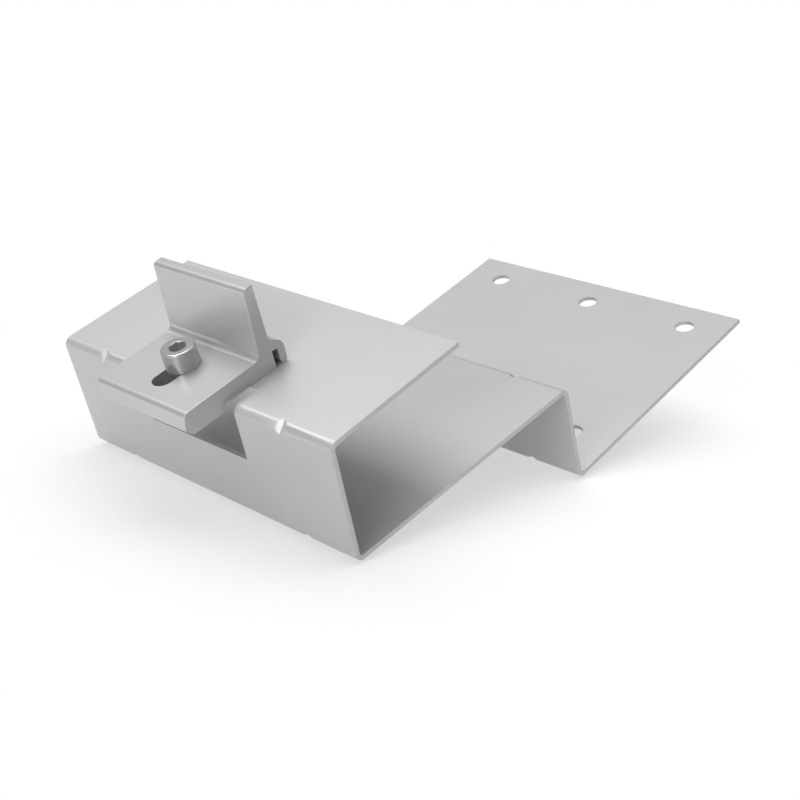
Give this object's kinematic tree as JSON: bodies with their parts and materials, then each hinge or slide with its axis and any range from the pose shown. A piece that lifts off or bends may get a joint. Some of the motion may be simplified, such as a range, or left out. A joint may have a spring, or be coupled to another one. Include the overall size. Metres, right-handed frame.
{
  "type": "solar roof hook",
  "caption": "Roof hook folded from one wide sheet, with a drilled base plate, a riser, a ramp and an upper flap that carries an angled rail clamp held by a socket screw and a nut plate.",
  "frame": {"origin": "middle of the base plate's six screw holes, on the plate's underside", "axes": "+X along the folds, +Y from the clamp towards the base plate's free edge (up the roof), +Z away from the roof"},
  "size_m": [0.15, 0.2647, 0.1341],
  "materials": {
    "sheet_steel": "satin",
    "clamp_aluminium": "smooth extruded",
    "screw_steel": "bright",
    "plate_steel": "satin"
  },
  "bodies": {
    "root": {"hook_sheet": "sheet_steel", "rail_clamp": "clamp_aluminium", "clamp_screw": "screw_steel", "nut_plate": "plate_steel"}
  },
  "joints": []
}
